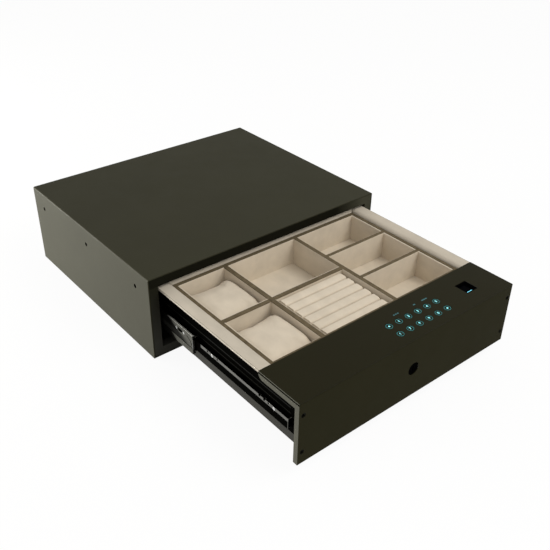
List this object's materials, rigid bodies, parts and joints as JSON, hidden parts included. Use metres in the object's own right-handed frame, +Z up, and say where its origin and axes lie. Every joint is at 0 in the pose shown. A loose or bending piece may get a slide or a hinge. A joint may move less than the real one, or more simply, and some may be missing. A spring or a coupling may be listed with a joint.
{
  "type": "under desk drawer safe",
  "caption": "Flat steel safe with a pull-out drawer on ball bearing slides, a keypad and fingerprint console, a key lock and a padded jewellery tray.",
  "frame": {"origin": "centre of the case's underside", "axes": "+Z up, and the drawer opens towards -Y; it is stored open, as pictured"},
  "size_m": [0.4, 0.609, 0.125],
  "materials": {
    "case_coat": "fine textured dark grey-brown powder coat",
    "bare_steel": "zinc plated steel, satin",
    "black_zinc": "black zinc plating, satin",
    "deck_panel": "dark panel with a soft sheen",
    "black_plastic": "matt black moulding",
    "reader_glass": "black optical window",
    "lit_cyan": "lit cyan strip",
    "circuit_board": "green solder mask",
    "brass": "machined brass",
    "cell_wrap": "plain grey cell wrap",
    "velvet": "short pile beige velvet",
    "tray_velvet": "flocked lining over board, beige inside with a brown upper edge"
  },
  "bodies": {
    "case": {"case_wrap": "case_coat", "front_frame": "case_coat", "base_plate": "case_coat", "back_plate": "case_coat", "left_slide_bracket": "case_coat", "right_slide_bracket": "case_coat", "left_outer_member": "black_zinc", "right_outer_member": "black_zinc", "strike_bracket": "bare_steel"},
    "left_middle_member": {"left_middle_member": "black_zinc"},
    "right_middle_member": {"right_middle_member": "black_zinc"},
    "left_outer_ball_cage": {"left_outer_ball_cage": "bare_steel"},
    "right_outer_ball_cage": {"right_outer_ball_cage": "bare_steel"},
    "left_inner_ball_cage": {"left_inner_ball_cage": "bare_steel"},
    "right_inner_ball_cage": {"right_inner_ball_cage": "bare_steel"},
    "drawer": {"left_drawer_rail": "bare_steel", "right_drawer_rail": "bare_steel", "drawer_pan": "case_coat", "drawer_back": "case_coat", "front_shell": "case_coat", "deck_cover": "deck_panel", "console_rear_plate": "case_coat", "left_lower_face_screw": "black_zinc", "left_upper_face_screw": "black_zinc", "right_lower_face_screw": "black_zinc", "right_upper_face_screw": "black_zinc", "keypad_board": "circuit_board", "fingerprint_frame": "black_plastic", "fingerprint_sensor": "reader_glass", "fingerprint_light": "lit_cyan", "key_cylinder": "black_zinc", "lock_chassis": "bare_steel", "lock_motor": "bare_steel", "battery_holder": "black_plastic", "battery_cell_1": "cell_wrap", "battery_cell_2": "cell_wrap", "battery_cell_3": "cell_wrap", "battery_cell_4": "cell_wrap", "battery_cover": "black_plastic", "control_board": "circuit_board", "tray_left_wall": "tray_velvet", "tray_right_wall": "tray_velvet", "tray_front_wall": "tray_velvet", "tray_back_wall": "tray_velvet", "tray_floor": "velvet", "tray_left_divider": "tray_velvet", "tray_right_divider": "tray_velvet", "tray_left_cross_wall": "tray_velvet", "tray_middle_cross_wall": "tray_velvet", "tray_right_cross_wall_1": "tray_velvet", "tray_right_cross_wall_2": "tray_velvet", "front_watch_pillow": "velvet", "rear_watch_pillow": "velvet", "ring_pad": "velvet", "left_padded_edge": "velvet", "right_padded_edge": "velvet", "rear_padded_edge": "velvet"},
    "lock_bolt": {"lock_bolt": "bare_steel"},
    "key_plug": {"key_plug": "black_zinc"},
    "motor_pinion": {"motor_pinion": "brass"}
  },
  "joints": [
    {"name": "drawer_slide", "type": "slide", "parent": "case", "child": "drawer", "axis": [0, -1, 0], "range_m": [-0.274, 0]},
    {"name": "left_middle_slide", "type": "slide", "parent": "case", "child": "left_middle_member", "axis": [0, -1, 0], "range_m": [-0.0915, 0]},
    {"name": "right_middle_slide", "type": "slide", "parent": "case", "child": "right_middle_member", "axis": [0, -1, 0], "range_m": [-0.0915, 0]},
    {"name": "left_outer_cage_slide", "type": "slide", "parent": "case", "child": "left_outer_ball_cage", "axis": [0, -1, 0], "range_m": [-0.0458, 0]},
    {"name": "right_outer_cage_slide", "type": "slide", "parent": "case", "child": "right_outer_ball_cage", "axis": [0, -1, 0], "range_m": [-0.0458, 0]},
    {"name": "left_inner_cage_slide", "type": "slide", "parent": "case", "child": "left_inner_ball_cage", "axis": [0, -1, 0], "range_m": [-0.1828, 0]},
    {"name": "right_inner_cage_slide", "type": "slide", "parent": "case", "child": "right_inner_ball_cage", "axis": [0, -1, 0], "range_m": [-0.1828, 0]},
    {"name": "lock_bolt_slide", "type": "slide", "parent": "drawer", "child": "lock_bolt", "axis": [0, 0, -1], "range_m": [0, 0.0157]},
    {"name": "key_turn", "type": "hinge", "parent": "drawer", "child": "key_plug", "pos_m": [0, -0.4212, 0.0585], "axis": [0, 1, 0], "range_deg": [0, 90]},
    {"name": "motor_spin", "type": "hinge", "parent": "drawer", "child": "motor_pinion", "pos_m": [0.0025, -0.4086, 0.0369], "axis": [0, 1, 0], "range_deg": [0, 120]}
  ],
  "couplings": [
    {"joint": "left_middle_slide", "follows": "drawer_slide", "ratio": 0.33333},
    {"joint": "right_middle_slide", "follows": "drawer_slide", "ratio": 0.33333},
    {"joint": "left_outer_cage_slide", "follows": "drawer_slide", "ratio": 0.16667},
    {"joint": "right_outer_cage_slide", "follows": "drawer_slide", "ratio": 0.16667},
    {"joint": "left_inner_cage_slide", "follows": "drawer_slide", "ratio": 0.66667},
    {"joint": "right_inner_cage_slide", "follows": "drawer_slide", "ratio": 0.66667},
    {"joint": "key_turn", "follows": "lock_bolt_slide", "rad_per_m": 100},
    {"joint": "motor_spin", "follows": "lock_bolt_slide", "rad_per_m": 133.33}
  ]
}
